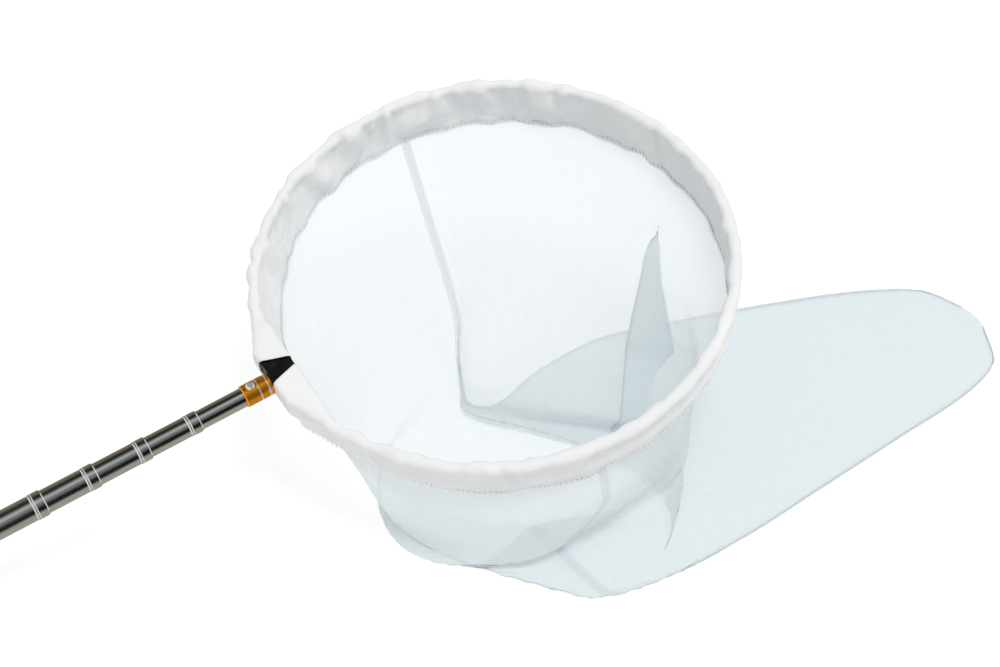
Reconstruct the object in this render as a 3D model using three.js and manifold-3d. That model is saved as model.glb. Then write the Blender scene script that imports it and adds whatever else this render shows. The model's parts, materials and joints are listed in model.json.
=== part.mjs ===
// Long-bag hand net on a telescopic steel pole. Millimetres, +Z up.
// The origin is the centre of the hand grip, on the pole's axis. +X is the pole's level heading,
// from the grip towards the hoop. The bag hangs from the hoop and its tail lies on a level floor.

import * as THREE from 'three';
import * as BufferGeometryUtils from 'three/addons/utils/BufferGeometryUtils.js';
import Module from 'manifold-3d';

const wasm = await Module();
wasm.setup();

// ---- Driving dimensions ----

const PITCH = THREE.MathUtils.degToRad(9.6); // the pole rises towards the hoop
const ROLL = THREE.MathUtils.degToRad(8.2); // the head is turned about the pole, its -Y side lower
const GRIP_TO_HOOP = 660; // grip centre to hoop centre, along the pole

const HOOP_RADIUS = 200;
const WIRE_RADIUS = 3;
const WIRE_HALF_GAP = 7; // half the gap between the wire's two ends, inside the hub

const HUB = { inner: 187, outer: 210, halfWidth: 26, halfHeight: 7, corner: 7 };
const HUB_JOINT = 0.3; // clearance between the hub's two halves
const RUNNING_GAP = 0.3; // clearance round pieces that are held in a pocket
const CHANNEL_GAP = 0.6; // clearance round the wire in the hub
const HUB_SCREW = { x: 205.5, y: 15, bottom: -5, shank: 1.5, head: 2.9, headHeight: 1.6 };
const STUD = { head: 5, headFrom: 193, headTo: 197, shank: 4, end: 223 };
const WASHER = { from: 210.3, to: 211.3, inner: 4.4, outer: 8.2 };

const COLLAR = { from: 211.6, to: 236, radius: 9.25, bore: 4.35, socketFrom: 223.7 };
const COLLAR_GROOVES = { at: [214.9, 222.9], depth: 0.45, halfWidth: 0.75 };
const COLLAR_SCREW = { at: 228.2, flat: 8.75, reach: 6.4, shank: 2, head: 3.8, headHeight: 2.2 };
const COLLAR_SCREW_SOCKET = 1.25;

const TUBE_COUNT = 5;
const TUBE_STEP = 1.3; // growth in diameter from one tube to the next
const TUBE_1_DIAMETER = 16;
const TUBE_WALL = 0.45;
const TUBE_1_FRONT = 224; // distances from the hoop's centre, along the pole
const TUBE_2_FRONT = 276.3;
const STAGE_PITCH = 45.7; // spacing of the rolled front ends of tubes 2 to 5
const TUBE_1_LENGTH = 288;
const TUBE_GROWTH = 6; // each tube is this much longer than the one inside it
const TUBE_5_REAR = 750;
const ROLLED_END = { length: 11, swell: 0.4, groove: 0.35 };
const BUSH = { spigot: 9, flange: 2.5, wall: 1.2 };

const GRIP = { length: 190, radius: 15, rib: 0.8, ribs: 8 };
const END_CAP = { plug: 18, thickness: 8, radius: 15.2 };

const SLEEVE = { roll: 5.2, hemDrop: 40, hemRadius: 190, cloth: 1.6, channel: 3.6, halfOpening: 27.5 };

const SHEET = 0.8; // thickness of the net's solid
const SEAM_TURN = THREE.MathUtils.degToRad(-6); // the side seams are this far from square to the pole
const SEAM_INSET = 1; // each panel stops this far from the seam line
const SEAM_LIFT = 1.3; // the upper panel lies this far above the lower one
const LIFT_FULL = 0.1; // and reaches that height at this share of its length
const HEM_GAP = 0.006; // the panels start this share of their length below the sleeve's hem

// The bag, from the hem (s = 0) to the tip of the tail (s = 1), in a level frame at the hoop's centre.
// The floor is at z = -150. Each station has its s, then the far and the near side seam, then how far
// the middle of the lower and of the upper panel stands out from the line between the seams, and last
// the lower and the upper panel's skew, which moves the panel's bulge towards one seam.
const BAG = [
  station(0.1, [12, 130, -58], [-18, -196, -100], [-165, -14, -22], [156, 4, 34], [0, 18]),
  station(0.2, [0, 66, -102], [-34, -222, -130], [-136, -14, -26], [122, 12, 26], [-8, 46]),
  station(0.3, [-24, 6, -140], [-40, -238, -146], [-88, 8, -5], [92, 12, 14], [-24, 52]),
  station(0.37, [-4, -10, -147], [-18, -248, -149], [-50, 6, -1], [60, 10, 12], [-25, 46]),
  station(0.45, [50, 6, -148], [30, -252, -149], [-20, 0, 0], [40, 0, 10], [-10, 26]),
  station(0.54, [110, 16, -149], [92, -243, -149], [0, 0, 0], [10, 0, 9], [0, 0]),
  station(0.65, [190, 0, -149], [176, -232, -149], [0, 0, 0], [0, 0, 8], [0, 0]),
  station(0.77, [280, -22, -149], [270, -218, -149], [0, 0, 0], [0, 0, 6], [0, 0]),
  station(0.88, [362, -50, -149], [352, -205, -149], [0, 0, 0], [0, 0, 5], [0, 0]),
  station(0.95, [408, -78, -149], [398, -188, -149], [0, 0, 0], [0, 0, 2], [0, 0]),
  station(1, [425, -115, -149], [424, -150, -149], [0, 0, 0], [0, 0, 0], [0, 0]),
];
const BAG_STEPS = { along: 26, across: 12 };
const EDGE_SHARE = 0.06; // within this share of a side seam, a panel keeps the direction it has there

const ROUND = 24; // sides of the pole's turned pieces
const RING = 60; // sides of the hoop and the sleeve

// ---- Materials ----

const steel = new THREE.MeshStandardMaterial({ color: 0xb9bcbd, metalness: 1, roughness: 0.16 });
const orange = new THREE.MeshStandardMaterial({ color: 0xe07a10, metalness: 0.9, roughness: 0.28 });
const black = new THREE.MeshStandardMaterial({ color: 0x151515, metalness: 0, roughness: 0.45 });
const foam = new THREE.MeshStandardMaterial({ color: 0x1c1c1d, metalness: 0, roughness: 0.85 });
const cotton = new THREE.MeshStandardMaterial({ color: 0xf1f2f2, metalness: 0, roughness: 0.9 });
const mesh = new THREE.MeshStandardMaterial({ color: 0xe6ebef, metalness: 0, roughness: 0.8 });

// ---- Helpers ----

// A closed solid for manifold-3d, from a closed geometry.
function solid(geometry) {
  const plain = geometry.clone();
  plain.deleteAttribute('normal');
  plain.deleteAttribute('uv');
  const merged = BufferGeometryUtils.mergeVertices(plain, 1e-4);
  return new wasm.Manifold(new wasm.Mesh({
    numProp: 3,
    vertProperties: new Float32Array(merged.attributes.position.array),
    triVerts: new Uint32Array(merged.index.array),
  }));
}

// A three.js geometry, from a manifold-3d solid.
function geometryOf(body) {
  const result = body.getMesh();
  const geometry = new THREE.BufferGeometry();
  geometry.setAttribute('position', new THREE.BufferAttribute(result.vertProperties, 3));
  geometry.setIndex(new THREE.BufferAttribute(result.triVerts, 1));
  geometry.computeVertexNormals();
  return geometry;
}

function cut(geometry, ...tools) {
  let body = solid(geometry);
  for (const tool of tools) {
    body = body.subtract(solid(tool));
  }
  return geometryOf(body);
}

// A turned piece about the pole's axis. The profile is a closed list of [distance from the hoop's
// centre, radius] pairs.
function turned(profile, sides = ROUND) {
  const points = profile.map(([distance, radius]) => new THREE.Vector2(radius, -distance));
  const lathe = new THREE.LatheGeometry(points, sides);
  lathe.rotateZ(-Math.PI / 2);
  return outward(lathe);
}

// Turns a closed geometry's faces outwards if its profile ran the other way.
function outward(geometry) {
  const position = geometry.attributes.position;
  const index = geometry.index;
  const a = new THREE.Vector3();
  const b = new THREE.Vector3();
  const c = new THREE.Vector3();
  let volume = 0;
  for (let i = 0; i < index.count; i += 3) {
    a.fromBufferAttribute(position, index.getX(i));
    b.fromBufferAttribute(position, index.getX(i + 1));
    c.fromBufferAttribute(position, index.getX(i + 2));
    volume += a.dot(b.cross(c));
  }
  if (volume < 0) {
    for (let i = 0; i < index.count; i += 3) {
      const first = index.getX(i);
      index.setX(i, index.getX(i + 1));
      index.setX(i + 1, first);
    }
  }
  return geometry;
}

// A rod along Z, from height "bottom" to height "top", in the head's own frame.
function rod(x, y, bottom, top, radius, sides = 16) {
  const geometry = new THREE.CylinderGeometry(radius, radius, top - bottom, sides);
  geometry.rotateX(Math.PI / 2);
  geometry.translate(x, y, (bottom + top) / 2);
  return geometry;
}

// A rod along the pole's axis, between two distances from the hoop's centre.
function poleRod(from, to, radius, sides = ROUND) {
  const geometry = new THREE.CylinderGeometry(radius, radius, to - from, sides);
  geometry.rotateZ(Math.PI / 2);
  geometry.translate(-(from + to) / 2, 0, 0);
  return geometry;
}

function add(group, name, geometry, material) {
  const piece = new THREE.Mesh(geometry, material);
  piece.name = name;
  group.add(piece);
}

// ---- Head: hoop, hub, stud ----

// The wire is one open ring. Its ends sit in the hub.
class HoopCurve extends THREE.Curve {
  getPoint(t, target = new THREE.Vector3()) {
    const gap = WIRE_HALF_GAP / HOOP_RADIUS;
    const angle = -Math.PI + gap + t * 2 * (Math.PI - gap);
    return target.set(HOOP_RADIUS * Math.cos(angle), HOOP_RADIUS * Math.sin(angle), 0);
  }
}

function hoopWire() {
  const section = new THREE.Shape();
  section.absarc(0, 0, WIRE_RADIUS, 0, 2 * Math.PI);
  return outward(withIndex(new THREE.ExtrudeGeometry(section, {
    steps: RING,
    curveSegments: 5,
    extrudePath: new HoopCurve(),
  })));
}

function withIndex(geometry) {
  const plain = geometry.clone();
  plain.deleteAttribute('normal');
  plain.deleteAttribute('uv');
  return BufferGeometryUtils.mergeVertices(plain, 1e-4);
}

function hubOutline() {
  const { inner, outer, halfWidth, corner } = HUB;
  const shape = new THREE.Shape();
  shape.moveTo(-outer, -halfWidth + corner);
  shape.lineTo(-outer, halfWidth - corner);
  shape.absarc(-outer + corner, halfWidth - corner, corner, Math.PI, Math.PI / 2, true);
  shape.lineTo(-inner - corner / 2, halfWidth);
  shape.absarc(-inner - corner / 2, halfWidth - corner / 2, corner / 2, Math.PI / 2, 0, true);
  shape.lineTo(-inner, -halfWidth + corner / 2);
  shape.absarc(-inner - corner / 2, -halfWidth + corner / 2, corner / 2, 0, -Math.PI / 2, true);
  shape.lineTo(-outer + corner, -halfWidth);
  shape.absarc(-outer + corner, -halfWidth + corner, corner, -Math.PI / 2, -Math.PI, true);
  return shape;
}

// One half of the hub, with its share of the channels for the wire, the stud and the screws.
function hubHalf(bottom, top) {
  const block = new THREE.ExtrudeGeometry(hubOutline(), {
    depth: top - bottom,
    curveSegments: 4,
    bevelEnabled: false,
  });
  block.translate(0, 0, bottom);
  const channel = new THREE.TorusGeometry(HOOP_RADIUS, WIRE_RADIUS + CHANNEL_GAP, 10, RING * 2);
  const shank = poleRod(STUD.headFrom - RUNNING_GAP, HUB.outer + 1, STUD.shank + RUNNING_GAP);
  const head = poleRod(STUD.headFrom - RUNNING_GAP, STUD.headTo + RUNNING_GAP, STUD.head + RUNNING_GAP);
  const tools = [channel, shank, head];
  for (const side of [-1, 1]) {
    const y = side * HUB_SCREW.y;
    const hole = HUB_SCREW.shank + RUNNING_GAP;
    tools.push(rod(-HUB_SCREW.x, y, HUB_SCREW.bottom, HUB.halfHeight + 1, hole));
    const seat = HUB.halfHeight - HUB_SCREW.headHeight;
    tools.push(rod(-HUB_SCREW.x, y, seat, HUB.halfHeight + 1, HUB_SCREW.head + RUNNING_GAP));
  }
  return cut(block, ...tools);
}

function hubScrew(side) {
  const { x, y, bottom, shank, head, headHeight } = HUB_SCREW;
  const seat = HUB.halfHeight - headHeight + RUNNING_GAP;
  const body = solid(rod(-x, side * y, bottom + RUNNING_GAP, seat + 0.5, shank));
  const cap = solid(rod(-x, side * y, seat, HUB.halfHeight - 0.1, head));
  const socket = solid(rod(-x, side * y, seat + 0.5, HUB.halfHeight + 1, 1.2, 6));
  return geometryOf(body.add(cap).subtract(socket));
}

function headStud() {
  const { head, headFrom, headTo, shank, end } = STUD;
  return turned([
    [headFrom, 0],
    [headFrom, head],
    [headTo, head],
    [headTo, shank],
    [end - 1, shank],
    [end, shank - 1],
    [end, 0],
  ]);
}

function threadWasher() {
  const { from, to, inner, outer } = WASHER;
  return turned([[from, inner], [from, outer], [to, outer], [to, inner], [from, inner]]);
}

// ---- Collar ----

function collar() {
  const { from, to, radius, bore, socketFrom } = COLLAR;
  const { at: grooves, depth, halfWidth } = COLLAR_GROOVES;
  const socket = TUBE_1_DIAMETER / 2 + RUNNING_GAP;
  const chamfer = 0.6;
  const profile = [[from, bore], [from, radius - chamfer], [from + chamfer, radius]];
  for (const at of grooves) {
    profile.push([at - halfWidth, radius], [at, radius - depth], [at + halfWidth, radius]);
  }
  profile.push([to - chamfer, radius], [to, radius - chamfer], [to, socket], [socketFrom, socket]);
  profile.push([socketFrom, bore], [from, bore]);
  const { at, shank, head, flat } = COLLAR_SCREW;
  const hole = rod(-at, 0, 0, radius + 2, shank + RUNNING_GAP);
  const seat = rod(-at, 0, flat, radius + 2, head + RUNNING_GAP, 20);
  return cut(turned(profile, 36), hole, seat);
}

function collarScrew() {
  const { at, flat, reach, shank, head, headHeight } = COLLAR_SCREW;
  const base = flat + RUNNING_GAP;
  const profile = [[reach, 0], [reach, shank], [base, shank], [base, head], [base + 0.6, head]];
  profile.push([base + headHeight * 0.75, head * 0.78]);
  profile.push([base + headHeight, head * 0.42], [base + headHeight, 0]);
  const points = profile.map(([height, radius]) => new THREE.Vector2(radius, height));
  const lathe = new THREE.LatheGeometry(points, 20);
  lathe.rotateX(Math.PI / 2);
  lathe.translate(-at, 0, 0);
  return cut(outward(lathe), rod(-at, 0, base + 1, base + headHeight + 1, COLLAR_SCREW_SOCKET, 6));
}

// ---- Telescopic tubes ----

function tubeRadius(number) {
  return (TUBE_1_DIAMETER + TUBE_STEP * (number - 1)) / 2;
}

function tubeFront(number) {
  return number === 1 ? TUBE_1_FRONT : TUBE_2_FRONT + STAGE_PITCH * (number - 2);
}

function tubeRear(number) {
  if (number === TUBE_COUNT) {
    return TUBE_5_REAR;
  }
  return tubeFront(number) + TUBE_1_LENGTH + TUBE_GROWTH * (number - 1);
}

// Tubes 2 to 5 have a rolled front end: a slightly swollen band between two ring grooves.
function tube(number) {
  const outer = tubeRadius(number);
  const inner = outer - TUBE_WALL;
  const front = tubeFront(number);
  const rear = tubeRear(number);
  const { length, swell, groove } = ROLLED_END;
  const profile = [[front, inner]];
  if (number === 1) {
    profile.push([front, outer]);
  } else {
    const band = outer + swell;
    profile.push([front, outer], [front + 0.6, band]);
    profile.push([front + 2, band], [front + 2.6, band - groove], [front + 3.2, band]);
    profile.push([front + length - 1.6, band], [front + length - 0.8, outer - groove / 2 + 0.1]);
    profile.push([front + length, outer]);
  }
  profile.push([rear, outer], [rear, inner], [front, inner]);
  const body = turned(profile);
  if (number > 1) {
    return body;
  }
  const { at, shank } = COLLAR_SCREW;
  return cut(body, rod(-at, 0, 0, outer + 2, shank + RUNNING_GAP));
}

// A nylon plug in the rear of an inner tube. Its flange slides in the next tube out.
function slideBush(number) {
  const inside = tubeRadius(number) - TUBE_WALL - 0.15;
  const flange = tubeRadius(number + 1) - TUBE_WALL - 0.1;
  const rear = tubeRear(number);
  const hole = inside - BUSH.wall;
  return turned([
    [rear - BUSH.spigot, hole],
    [rear - BUSH.spigot, inside],
    [rear + 0.2, inside],
    [rear + 0.2, flange],
    [rear + BUSH.flange, flange],
    [rear + BUSH.flange, hole],
    [rear - BUSH.spigot, hole],
  ]);
}

// ---- Grip and end cap ----

function grip() {
  const { length, radius, rib, ribs } = GRIP;
  const from = GRIP_TO_HOOP - length / 2;
  const to = GRIP_TO_HOOP + length / 2;
  const bore = tubeRadius(TUBE_COUNT) + 0.15;
  const profile = [[from, bore], [from, radius - 3], [from + 3, radius]];
  const pitch = (length - 40) / ribs;
  for (let i = 0; i < ribs; i += 1) {
    const at = from + 20 + pitch * (i + 0.5);
    profile.push([at - 1.5, radius], [at, radius - rib], [at + 1.5, radius]);
  }
  profile.push([to, radius], [to, bore], [from, bore]);
  return turned(profile);
}

function endCap() {
  const { plug, thickness, radius } = END_CAP;
  const inside = tubeRadius(TUBE_COUNT) - TUBE_WALL - 0.15;
  const seat = GRIP_TO_HOOP + GRIP.length / 2 + RUNNING_GAP;
  return turned([
    [TUBE_5_REAR - plug, 0],
    [TUBE_5_REAR - plug, inside],
    [seat, inside],
    [seat, radius],
    [seat + thickness - 2, radius],
    [seat + thickness, radius - 2],
    [seat + thickness, 0],
  ]);
}

// ---- Sleeve ----

// A band of cloth folded over the wire. Both of its layers are sewn together at the hem.
function sleeve() {
  const { roll, hemDrop, hemRadius, cloth, channel, halfOpening } = SLEEVE;
  const points = [];
  const arcSteps = 7;
  const start = THREE.MathUtils.degToRad(-60);
  const sweep = THREE.MathUtils.degToRad(300);
  for (let i = 0; i <= arcSteps; i += 1) {
    const angle = start + (sweep * i) / arcSteps;
    points.push([HOOP_RADIUS + roll * Math.cos(angle), roll * Math.sin(angle)]);
  }
  points.push([hemRadius - cloth / 2, -hemDrop], [hemRadius + cloth / 2, -hemDrop], points[0]);
  const outline = points.map(([radius, height]) => new THREE.Vector2(radius, height));
  const band = new THREE.LatheGeometry(outline, RING);
  band.rotateX(Math.PI / 2);
  const tunnel = new THREE.TorusGeometry(HOOP_RADIUS, channel, 8, RING);
  const opening = new THREE.BoxGeometry(60, 2 * halfOpening, 120);
  opening.translate(-HOOP_RADIUS, 0, 0);
  return cut(outward(band), tunnel, opening);
}

// ---- Net bag ----

const uAxis = new THREE.Vector3(Math.cos(PITCH), 0, Math.sin(PITCH));
const sAxis = new THREE.Vector3(0, 1, 0).applyAxisAngle(uAxis, ROLL);
const nAxis = new THREE.Vector3().crossVectors(uAxis, sAxis);

function hemPoint(angle) {
  return new THREE.Vector3()
    .addScaledVector(uAxis, SLEEVE.hemRadius * Math.cos(angle + SEAM_TURN))
    .addScaledVector(sAxis, SLEEVE.hemRadius * Math.sin(angle + SEAM_TURN))
    .addScaledVector(nAxis, -SLEEVE.hemDrop);
}

function station(s, far, near, lower, upper, skews) {
  return { s, values: [...far, ...near, ...lower, ...upper, ...skews] };
}

// The hem is the bag's first station, a circle below the hoop.
function hemStation() {
  const far = hemPoint(Math.PI / 2);
  const near = hemPoint(-Math.PI / 2);
  const middle = far.clone().add(near).multiplyScalar(0.5);
  const lower = hemPoint(Math.PI).sub(middle);
  const upper = hemPoint(0).sub(middle);
  return station(0, far.toArray(), near.toArray(), lower.toArray(), upper.toArray(), [0, 0]);
}

const STATIONS = [hemStation(), ...BAG];

// Cubic through the stations, with slopes that never overshoot their neighbours.
function stationAt(s) {
  const last = STATIONS.length - 1;
  let k = 0;
  while (k < last - 1 && s > STATIONS[k + 1].s) {
    k += 1;
  }
  const [before, start, end, after] = [k - 1, k, k + 1, k + 2].map((i) => STATIONS[clamp(i, last)]);
  const step = end.s - start.s;
  const t = (s - start.s) / step;
  return start.values.map((value, i) => {
    const here = (end.values[i] - value) / step;
    const earlier = before === start ? here : (value - before.values[i]) / (start.s - before.s);
    const later = after === end ? here : (after.values[i] - end.values[i]) / (after.s - end.s);
    return (
      value * (2 * t ** 3 - 3 * t ** 2 + 1)
      + gentle(earlier, here) * step * (t ** 3 - 2 * t ** 2 + t)
      + end.values[i] * (3 * t ** 2 - 2 * t ** 3)
      + gentle(here, later) * step * (t ** 3 - t ** 2)
    );
  });
}

function clamp(i, last) {
  return Math.min(Math.max(i, 0), last);
}

function gentle(a, b) {
  return a * b <= 0 ? 0 : (2 * a * b) / (a + b);
}

// A point of one panel. s runs along the bag, and across from 0 at the far seam to 1 at the near one.
function bagPoint(s, across, isUpper) {
  const row = stationAt(s);
  const far = new THREE.Vector3(...row.slice(0, 3));
  const near = new THREE.Vector3(...row.slice(3, 6));
  const stand = new THREE.Vector3(...(isUpper ? row.slice(9, 12) : row.slice(6, 9)));
  const halfWidth = far.clone().sub(near).multiplyScalar(0.5);
  const inset = SEAM_INSET / halfWidth.length();
  const angle = inset + across * (Math.PI - 2 * inset);
  const point = far.clone().add(near).multiplyScalar(0.5);
  point.addScaledVector(halfWidth, Math.cos(angle));
  point.addScaledVector(stand, Math.sin(angle));
  point.x -= row[isUpper ? 13 : 12] * Math.sin(2 * angle);
  if (isUpper) {
    point.z += SEAM_LIFT * Math.min(1, s / LIFT_FULL);
  }
  return point;
}

// Gives the two broad faces of a flat box the same diagonals, so that they stay parallel when bent.
function matchDiagonals(geometry) {
  const { position } = geometry.attributes;
  const index = geometry.index;
  for (let i = 0; i < index.count; i += 6) {
    const [a, b, d, c] = [0, 1, 2, 4].map((k) => index.getX(i + k));
    if ([a, b, c, d].every((corner) => position.getZ(corner) < 0)) {
      [a, b, c, a, c, d].forEach((corner, k) => index.setX(i + k, corner));
    }
  }
  return geometry;
}

// A thin closed sheet that follows the panel: a flat box whose points are moved onto it.
function netPanel(isUpper) {
  const { along, across } = BAG_STEPS;
  const sheet = new THREE.BoxGeometry(1, 1, 1, along, across, 1);
  sheet.deleteAttribute('normal');
  sheet.deleteAttribute('uv');
  const geometry = matchDiagonals(BufferGeometryUtils.mergeVertices(sheet, 1e-6));
  const position = geometry.attributes.position;
  const nudge = 0.002;
  for (let i = 0; i < position.count; i += 1) {
    const s = HEM_GAP + (position.getX(i) + 0.5) * (1 - HEM_GAP);
    const w = position.getY(i) + 0.5;
    const side = position.getZ(i);
    const middle = bagPoint(s, w, isUpper);
    const inner = THREE.MathUtils.clamp(w, EDGE_SHARE, 1 - EDGE_SHARE);
    const ahead = bagPoint(Math.min(s + nudge, 1), inner, isUpper);
    const alongS = ahead.sub(bagPoint(Math.max(s - nudge, 0), inner, isUpper));
    const beside = bagPoint(s, inner + nudge, isUpper);
    const alongW = beside.sub(bagPoint(s, inner - nudge, isUpper));
    const normal = alongS.cross(alongW).normalize();
    middle.addScaledVector(normal, side * SHEET);
    position.setXYZ(i, middle.x, middle.y, middle.z);
  }
  return outward(geometry);
}

// ---- Assembly ----

function buildHead(group) {
  add(group, 'hoop', hoopWire(), steel);
  add(group, 'hub_body', hubHalf(-HUB.halfHeight, -HUB_JOINT / 2), black);
  add(group, 'hub_cover', hubHalf(HUB_JOINT / 2, HUB.halfHeight), black);
  add(group, 'hub_screw_left', hubScrew(1), steel);
  add(group, 'hub_screw_right', hubScrew(-1), steel);
  add(group, 'head_stud', headStud(), steel);
  add(group, 'thread_washer', threadWasher(), black);
  add(group, 'sleeve', sleeve(), cotton);
  add(group, 'collar', collar(), orange);
  add(group, 'collar_screw', collarScrew(), steel);
}

function buildPole(group) {
  for (let number = 1; number <= TUBE_COUNT; number += 1) {
    add(group, `tube_${number}`, tube(number), steel);
  }
  for (let number = 1; number < TUBE_COUNT; number += 1) {
    add(group, `slide_bush_${number}`, slideBush(number), black);
  }
  add(group, 'grip', grip(), foam);
  add(group, 'end_cap', endCap(), black);
}

const net = new THREE.Group();

// The tool's frame has its origin at the hoop's centre, +X along the pole and +Z out of the hoop.
const tool = new THREE.Group();
tool.position.copy(uAxis).multiplyScalar(GRIP_TO_HOOP);
tool.rotation.set(ROLL, -PITCH, 0, 'YXZ');
net.add(tool);

const bag = new THREE.Group();
bag.position.copy(tool.position);
net.add(bag);

buildHead(tool);
buildPole(tool);
add(bag, 'net_panel_lower', netPanel(false), mesh);
add(bag, 'net_panel_upper', netPanel(true), mesh);

export default net;
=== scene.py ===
# A long-bag hand net on a telescopic steel pole. Metres, +Z up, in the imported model's frame.

import json
import math

import bpy
import bmesh
import numpy as np
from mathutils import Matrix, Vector


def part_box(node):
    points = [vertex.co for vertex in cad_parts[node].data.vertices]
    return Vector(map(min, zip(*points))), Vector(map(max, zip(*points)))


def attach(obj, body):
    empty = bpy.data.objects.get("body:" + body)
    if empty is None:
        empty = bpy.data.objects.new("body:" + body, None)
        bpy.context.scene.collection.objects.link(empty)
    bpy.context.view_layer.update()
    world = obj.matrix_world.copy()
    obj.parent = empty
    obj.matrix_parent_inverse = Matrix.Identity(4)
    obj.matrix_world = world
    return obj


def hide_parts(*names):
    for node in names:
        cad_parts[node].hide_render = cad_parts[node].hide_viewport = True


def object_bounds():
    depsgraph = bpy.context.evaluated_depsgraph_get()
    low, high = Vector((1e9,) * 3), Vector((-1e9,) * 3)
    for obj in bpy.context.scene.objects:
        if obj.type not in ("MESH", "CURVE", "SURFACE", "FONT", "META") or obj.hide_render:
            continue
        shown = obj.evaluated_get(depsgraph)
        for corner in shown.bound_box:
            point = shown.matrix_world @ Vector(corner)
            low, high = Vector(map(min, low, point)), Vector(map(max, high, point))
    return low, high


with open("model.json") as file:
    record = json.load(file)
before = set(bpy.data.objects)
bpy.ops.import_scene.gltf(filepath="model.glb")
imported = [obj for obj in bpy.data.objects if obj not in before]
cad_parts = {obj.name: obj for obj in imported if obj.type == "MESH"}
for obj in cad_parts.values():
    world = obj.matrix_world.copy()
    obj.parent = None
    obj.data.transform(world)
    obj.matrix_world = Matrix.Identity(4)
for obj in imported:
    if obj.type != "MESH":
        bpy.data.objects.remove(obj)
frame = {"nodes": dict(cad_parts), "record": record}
cad_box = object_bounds()
MM = 0.001

# ---- Sizes ----

CAMERA = {"azimuth": -30.19, "elevation": 42.0, "distance": 2.0, "lens": 86.83}
CAMERA_OFFSET = (0.0053, -0.0562)  # how far the camera is to the right of and above the hoop's centre

HOOP_RADIUS = 200.0  # the hoop and the cloth are laid out in millimetres about the hoop's centre
WIRE_RADIUS = 3.0
WIRE_ENDS = 2.0  # degrees from the pole's axis to each end of the wire

HEM_DROP = 40.0  # how far the sleeve hangs below the wire's centre
NET_TUCK = 4.0  # the net runs this far up behind the sleeve's hem
SEAM_TURN = -6.0  # degrees from square to the pole to the far side seam

# Wall of the sleeve's hem: angle round the hoop in degrees (180 is at the hub), radius.
HEM_RADIUS = [(-180, 189), (-150, 193), (-100, 196), (-50, 196), (0, 193), (50, 192), (90, 192),
              (120, 189), (145, 182), (165, 184), (180, 189)]

# The bag, from the hem (s = 0) to the tail's tip (s = 1), in level axes at the hoop's centre. Each
# row has its s, the far and the near side seam, how far the middle of the lower and of the upper
# panel stands out from the line between them, and the lower and upper panel's skew.
BAG = [
    (0.10, (12, 130, -58), (-10, -197, -97), (-165, -12, -22), (147, 6, 34), (13, 10)),
    (0.20, (0, 66, -102), (-36, -196, -126), (-131, -12, -28), (119, 6, 22), (15, 46)),
    (0.26, (-17, 28, -126), (-58, -180, -142), (-112, 7, -12), (104, -25, 12), (-8, 64)),
    (0.31, (-26, 0, -142), (-52, -205, -147), (-105, 6, -3), (97, 9, 5), (14, 63)),
    (0.37, (-6, -12, -147), (-37, -250, -148), (-44, 2, -1), (66, 15, 4), (4, 38)),
    (0.45, (50, 8, -148), (28, -254, -149), (-14, 0, 0), (40, 0, 5), (0, 8)),
    (0.54, (112, 17, -149), (94, -249, -149), (0, 0, 0), (10, 0, 5), (0, 0)),
    (0.65, (190, 2, -149), (176, -236, -149), (0, 0, 0), (0, 0, 6), (0, 0)),
    (0.77, (280, -22, -149), (272, -220, -149), (0, 0, 0), (0, 0, 5), (0, 0)),
    (0.88, (362, -50, -149), (354, -206, -149), (0, 0, 0), (0, 0, 4), (0, 0)),
    (0.95, (408, -78, -149), (401, -186, -149), (6, 0, 0), (6, 0, 2), (0, 0)),
    (1.00, (424, -112, -149), (424, -144, -149), (4, 0, 0), (4, 0, 0), (0, 0)),
]
NET_ROWS = 140
NET_COLUMNS = 240  # round the whole bag: a multiple of 8

# ---- The frame: the pole's axis, the hoop's plane and centre ----


def unit(v):
    return v / np.linalg.norm(v)


def stacked(*parts):
    """Coordinates of points, from parts that are broadcast against each other."""
    return np.stack(np.broadcast_arrays(*parts), -1)


def run_along(path):
    """How far along a path each of its points is."""
    return np.concatenate([[0], np.cumsum(np.linalg.norm(np.diff(path, axis=0), axis=1))])


def node_points(name):
    mesh = frame["nodes"][name].data
    points = np.empty(len(mesh.vertices) * 3)
    mesh.vertices.foreach_get("co", points)
    return points.reshape(-1, 3)


def mount(name):
    return next(m for m in frame["record"]["mounts"] if m["name"] == name)


def hoop_frame():
    axis = unit(np.array(mount("hand_grip")["axis"], float))
    low, high = (np.array(corner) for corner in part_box("hoop"))
    centre = axis * ((low + high) / 2 @ axis)
    points = node_points("hoop")
    normal = np.linalg.svd(points - points.mean(0), full_matrices=False)[2][2]
    normal = unit(normal - axis * (normal @ axis))
    if normal[2] < 0:
        normal = -normal
    return centre, axis, np.cross(normal, axis), normal


CENTRE, ALONG, ACROSS, NORMAL = hoop_frame()
TOOL_AXES = np.stack([ALONG, ACROSS, NORMAL])
FLOOR = cad_box[0][2]
FLOOR_MM = (FLOOR - CENTRE[2]) / MM


def from_tool(points):
    """Millimetres in the tool's axes (x along the pole, z out of the hoop) to metres, as a list."""
    return CENTRE + np.asarray(points, float).reshape(-1, 3) @ TOOL_AXES * MM


def from_level(points):
    """Millimetres in level axes at the hoop's centre to metres, as a list."""
    return CENTRE + np.asarray(points, float).reshape(-1, 3) * MM


def to_level(points):
    """Millimetres in the tool's axes to millimetres in level axes at the hoop's centre."""
    return np.asarray(points, float) @ TOOL_AXES


def to_tool(points):
    """Metres to millimetres in the tool's axes."""
    return (np.asarray(points, float) - CENTRE) @ TOOL_AXES.T / MM


def pole_span(name):
    """A turned node's nearest and furthest distance from the hoop's centre, and its radius, in mm."""
    local = to_tool(node_points(name))
    return -local[:, 0].max(), -local[:, 0].min(), np.hypot(local[:, 1], local[:, 2]).max()


# ---- Mesh helpers ----


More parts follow.
